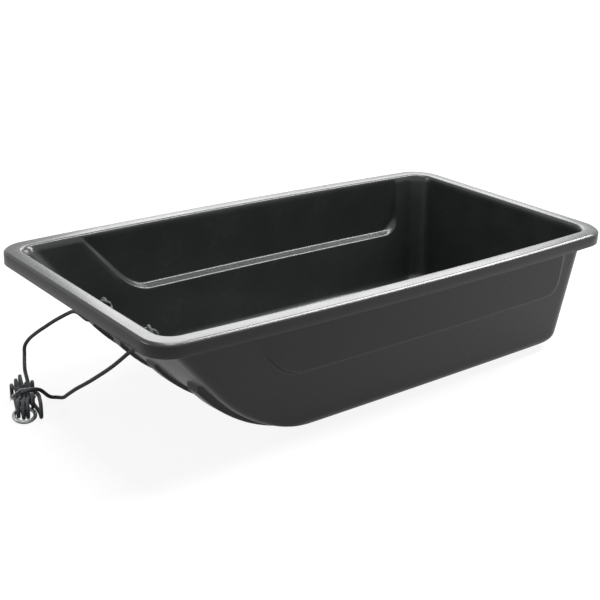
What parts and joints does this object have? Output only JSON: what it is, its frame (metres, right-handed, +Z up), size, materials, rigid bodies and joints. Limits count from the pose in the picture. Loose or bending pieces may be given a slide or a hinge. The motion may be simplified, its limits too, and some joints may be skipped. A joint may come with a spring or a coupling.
{
  "type": "ice fishing sled",
  "caption": "Dark moulded ice fishing sled with a turned-down rim, stepped side panels and runners, and a grey tow rope tied in a hank with a steel ring.",
  "frame": {"origin": "on the ground under the middle of the tub, in the plane of the runners' undersides", "axes": "+X towards the sloping front with the tow rope, +Y to the left seen from behind, +Z up"},
  "size_m": [0.9818, 0.4998, 0.233],
  "materials": {
    "tub_plastic": "moulded, fine orange peel",
    "rope": "braided",
    "ring_steel": "dull plated",
    "tie_cord": "smooth"
  },
  "bodies": {
    "sled": {"sled_tub": "tub_plastic", "tow_rope_left": "rope", "tow_rope_right": "rope", "tow_rope_hank": "rope", "left_knot": "rope", "right_knot": "rope", "hank_tie": "tie_cord"},
    "ring": {"tow_ring": "ring_steel"}
  },
  "joints": [
    {"name": "ring_spin", "type": "hinge", "parent": "sled", "child": "ring", "pos_m": [0.4969, -0.0931, 0.00695], "axis": [0.0945, 0.2227, 0.9703], "continuous": true}
  ]
}
